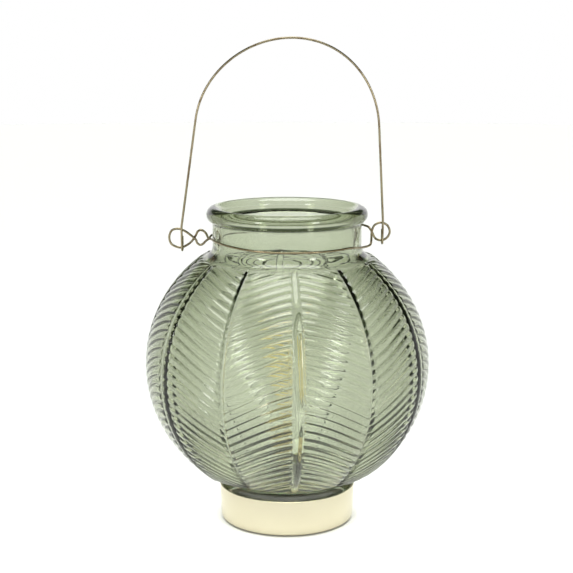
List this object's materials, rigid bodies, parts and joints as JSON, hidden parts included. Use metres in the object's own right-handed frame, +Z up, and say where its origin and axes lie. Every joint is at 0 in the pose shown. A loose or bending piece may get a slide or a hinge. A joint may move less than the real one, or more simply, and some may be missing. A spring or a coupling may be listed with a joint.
{
  "type": "lantern",
  "caption": "Ribbed green glass globe lantern on a gold metal cup, with a swinging wire bail and a battery filament bulb inside.",
  "frame": {"origin": "middle of the underside, on the surface that the rubber feet stand on", "axes": "+Z up along the glass globe's axis; +X from the twisted ear of the neck wire to the single eye; the front faces -Y"},
  "size_m": [0.15, 0.15, 0.2587],
  "materials": {
    "green_glass": "pressed glass, ribbed outside, grey-green",
    "clear_glass": "thin clear blown glass",
    "pale_gold": "polished pale gold plating on steel",
    "brass_wire": "brass-plated steel wire, drawn",
    "nickel": "nickel-plated steel",
    "black_plastic": "moulded, fine grain",
    "silicone": "translucent silicone",
    "grey_rubber": "matt",
    "cell_sleeve": "printed shrink sleeve without lettering",
    "green_board": "solder mask",
    "yellow_phosphor": "phosphor coating, unlit",
    "red_sleeve": "wire insulation",
    "black_sleeve": "wire insulation"
  },
  "bodies": {
    "lantern_body": {"base_cup": "pale_gold", "battery_1": "cell_sleeve", "battery_2": "cell_sleeve", "battery_3": "cell_sleeve", "battery_lead_minus": "black_sleeve", "battery_lead_plus": "red_sleeve", "battery_spring_1": "nickel", "battery_spring_2": "nickel", "battery_spring_3": "nickel", "bulb_cap": "pale_gold", "bulb_contact": "nickel", "bulb_glass": "clear_glass", "bulb_insulator": "black_plastic", "bulb_plate": "black_plastic", "bulb_stem": "clear_glass", "chassis": "black_plastic", "circuit_board": "green_board", "contact_plate_1": "nickel", "contact_plate_2": "nickel", "contact_plate_3": "nickel", "contact_plate_4": "nickel", "filament_mast": "nickel", "filament_star_lower": "nickel", "filament_star_upper": "nickel", "foot_1": "grey_rubber", "foot_2": "grey_rubber", "foot_3": "grey_rubber", "foot_4": "grey_rubber", "glass_gasket": "silicone", "glass_globe": "green_glass", "lamp_lead_minus": "black_sleeve", "lamp_lead_plus": "red_sleeve", "lamp_socket": "black_plastic", "led_filament_1": "yellow_phosphor", "led_filament_2": "yellow_phosphor", "led_filament_3": "yellow_phosphor", "led_filament_4": "yellow_phosphor", "neck_wire": "brass_wire", "plate_screw_1": "nickel", "plate_screw_2": "nickel", "resistor": "cell_sleeve", "socket_contact": "nickel", "switch_body": "nickel", "timer_chip": "black_plastic"},
    "bail_handle": {"bail_handle": "brass_wire"},
    "battery_cover": {"battery_cover": "black_plastic", "cover_screw": "nickel"},
    "switch_knob": {"switch_knob": "black_plastic"}
  },
  "joints": [
    {"name": "bail_swing", "type": "hinge", "parent": "lantern_body", "child": "bail_handle", "pos_m": [-0.0026, 0.0006, 0.15054], "axis": [0.9994, 0, 0.0348], "range_deg": [-4, 108]},
    {"name": "cover_hinge", "type": "hinge", "parent": "lantern_body", "child": "battery_cover", "pos_m": [-0.0252, 0, 0.0006], "axis": [0, 1, 0], "range_deg": [0, 70]},
    {"name": "switch_slide", "type": "slide", "parent": "lantern_body", "child": "switch_knob", "axis": [1, 0, 0], "range_m": [-0.002, 0.002]}
  ]
}
